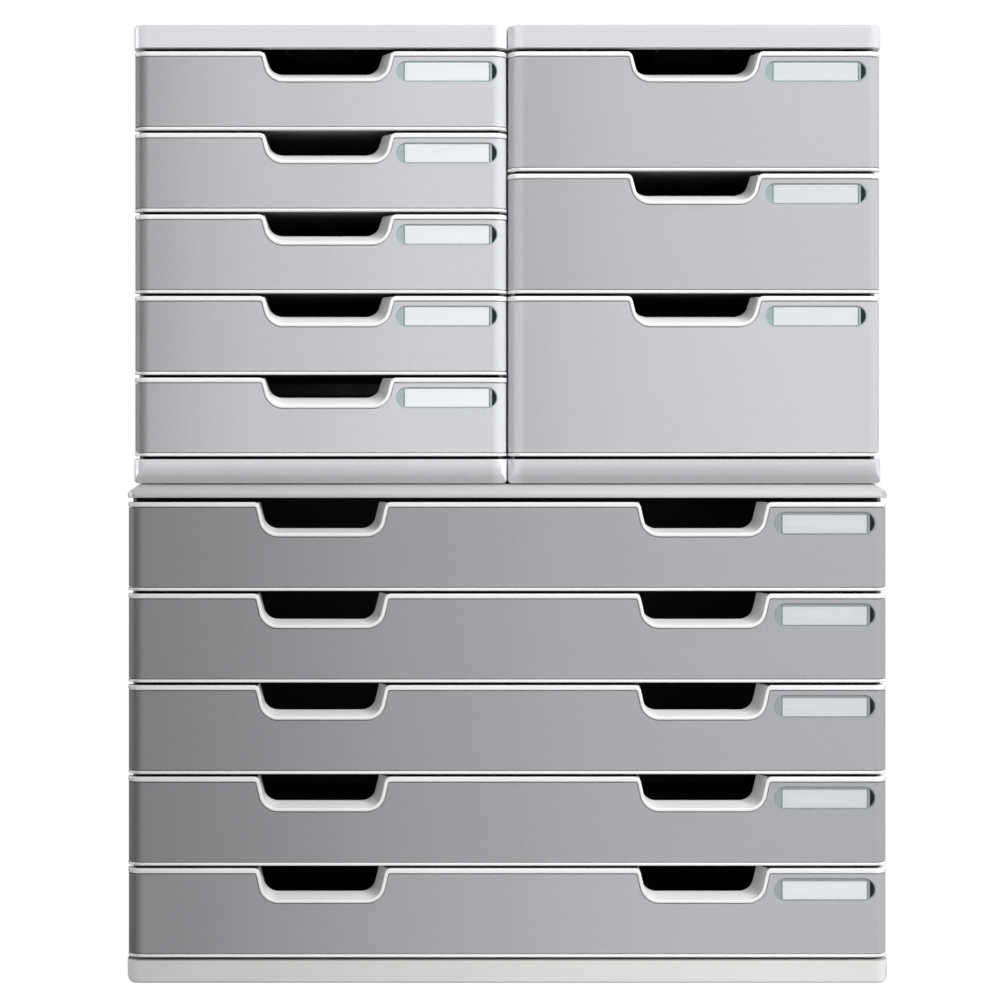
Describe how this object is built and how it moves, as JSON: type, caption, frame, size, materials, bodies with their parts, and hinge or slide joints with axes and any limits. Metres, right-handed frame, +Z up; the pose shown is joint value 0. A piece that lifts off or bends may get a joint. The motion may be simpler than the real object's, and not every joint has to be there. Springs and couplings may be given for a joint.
{
  "type": "desktop drawer stack",
  "caption": "Stack of plastic desktop drawer units, two narrow ones side by side on a double-width chest, with sliding drawers, finger notches and blank label windows.",
  "frame": {"origin": "on the floor, under the middle of the chest", "axes": "+Z up, the drawers open towards -Y, +X to the right of someone facing the drawers"},
  "size_m": [0.5628, 0.35, 0.707],
  "materials": {
    "case_plastic": "satin light grey moulded polystyrene",
    "white_plastic": "satin white moulded polystyrene",
    "tray_plastic": "mid-grey moulded polystyrene",
    "upper_fascia": "light grey, fine grain texture",
    "chest_fascia": "mid-grey, fine grain texture",
    "peg_plastic": "grey moulded plastic",
    "rubber": "matt black",
    "label_window": "clear, faintly blue-green",
    "label_card": "bare white card"
  },
  "bodies": {
    "root": {"left_unit_cover": "case_plastic", "left_unit_base": "case_plastic", "left_unit_left_side": "case_plastic", "left_unit_right_side": "case_plastic", "left_unit_back": "case_plastic", "left_unit_pegs": "peg_plastic", "right_unit_cover": "case_plastic", "right_unit_base": "case_plastic", "right_unit_left_side": "case_plastic", "right_unit_right_side": "case_plastic", "right_unit_back": "case_plastic", "right_unit_pegs": "peg_plastic", "chest_cover": "case_plastic", "chest_base": "case_plastic", "chest_left_side": "case_plastic", "chest_right_side": "case_plastic", "chest_back": "case_plastic", "chest_feet": "rubber"},
    "left_unit_drawer_1": {"left_unit_drawer_1_tray": "tray_plastic", "left_unit_drawer_1_front": "white_plastic", "left_unit_drawer_1_fascia": "upper_fascia"},
    "left_unit_drawer_2": {"left_unit_drawer_2_tray": "tray_plastic", "left_unit_drawer_2_front": "white_plastic", "left_unit_drawer_2_fascia": "upper_fascia"},
    "left_unit_drawer_3": {"left_unit_drawer_3_tray": "tray_plastic", "left_unit_drawer_3_front": "white_plastic", "left_unit_drawer_3_fascia": "upper_fascia"},
    "left_unit_drawer_4": {"left_unit_drawer_4_tray": "tray_plastic", "left_unit_drawer_4_front": "white_plastic", "left_unit_drawer_4_fascia": "upper_fascia"},
    "left_unit_drawer_5": {"left_unit_drawer_5_tray": "tray_plastic", "left_unit_drawer_5_front": "white_plastic", "left_unit_drawer_5_fascia": "upper_fascia"},
    "right_unit_drawer_1": {"right_unit_drawer_1_tray": "tray_plastic", "right_unit_drawer_1_front": "white_plastic", "right_unit_drawer_1_fascia": "upper_fascia"},
    "right_unit_drawer_2": {"right_unit_drawer_2_tray": "tray_plastic", "right_unit_drawer_2_front": "white_plastic", "right_unit_drawer_2_fascia": "upper_fascia"},
    "right_unit_drawer_3": {"right_unit_drawer_3_tray": "tray_plastic", "right_unit_drawer_3_front": "white_plastic", "right_unit_drawer_3_fascia": "upper_fascia"},
    "chest_drawer_1": {"chest_drawer_1_tray": "tray_plastic", "chest_drawer_1_front": "white_plastic", "chest_drawer_1_fascia": "chest_fascia"},
    "chest_drawer_2": {"chest_drawer_2_tray": "tray_plastic", "chest_drawer_2_front": "white_plastic", "chest_drawer_2_fascia": "chest_fascia"},
    "chest_drawer_3": {"chest_drawer_3_tray": "tray_plastic", "chest_drawer_3_front": "white_plastic", "chest_drawer_3_fascia": "chest_fascia"},
    "chest_drawer_4": {"chest_drawer_4_tray": "tray_plastic", "chest_drawer_4_front": "white_plastic", "chest_drawer_4_fascia": "chest_fascia"},
    "chest_drawer_5": {"chest_drawer_5_tray": "tray_plastic", "chest_drawer_5_front": "white_plastic", "chest_drawer_5_fascia": "chest_fascia"}
  },
  "joints": [
    {"name": "left_unit_drawer_1_slide", "type": "slide", "parent": "root", "child": "left_unit_drawer_1", "axis": [0, -1, 0], "range_m": [0, 0.25]},
    {"name": "left_unit_drawer_2_slide", "type": "slide", "parent": "root", "child": "left_unit_drawer_2", "axis": [0, -1, 0], "range_m": [0, 0.25]},
    {"name": "left_unit_drawer_3_slide", "type": "slide", "parent": "root", "child": "left_unit_drawer_3", "axis": [0, -1, 0], "range_m": [0, 0.25]},
    {"name": "left_unit_drawer_4_slide", "type": "slide", "parent": "root", "child": "left_unit_drawer_4", "axis": [0, -1, 0], "range_m": [0, 0.25]},
    {"name": "left_unit_drawer_5_slide", "type": "slide", "parent": "root", "child": "left_unit_drawer_5", "axis": [0, -1, 0], "range_m": [0, 0.25]},
    {"name": "right_unit_drawer_1_slide", "type": "slide", "parent": "root", "child": "right_unit_drawer_1", "axis": [0, -1, 0], "range_m": [0, 0.25]},
    {"name": "right_unit_drawer_2_slide", "type": "slide", "parent": "root", "child": "right_unit_drawer_2", "axis": [0, -1, 0], "range_m": [0, 0.25]},
    {"name": "right_unit_drawer_3_slide", "type": "slide", "parent": "root", "child": "right_unit_drawer_3", "axis": [0, -1, 0], "range_m": [0, 0.25]},
    {"name": "chest_drawer_1_slide", "type": "slide", "parent": "root", "child": "chest_drawer_1", "axis": [0, -1, 0], "range_m": [0, 0.25]},
    {"name": "chest_drawer_2_slide", "type": "slide", "parent": "root", "child": "chest_drawer_2", "axis": [0, -1, 0], "range_m": [0, 0.25]},
    {"name": "chest_drawer_3_slide", "type": "slide", "parent": "root", "child": "chest_drawer_3", "axis": [0, -1, 0], "range_m": [0, 0.25]},
    {"name": "chest_drawer_4_slide", "type": "slide", "parent": "root", "child": "chest_drawer_4", "axis": [0, -1, 0], "range_m": [0, 0.25]},
    {"name": "chest_drawer_5_slide", "type": "slide", "parent": "root", "child": "chest_drawer_5", "axis": [0, -1, 0], "range_m": [0, 0.25]}
  ]
}
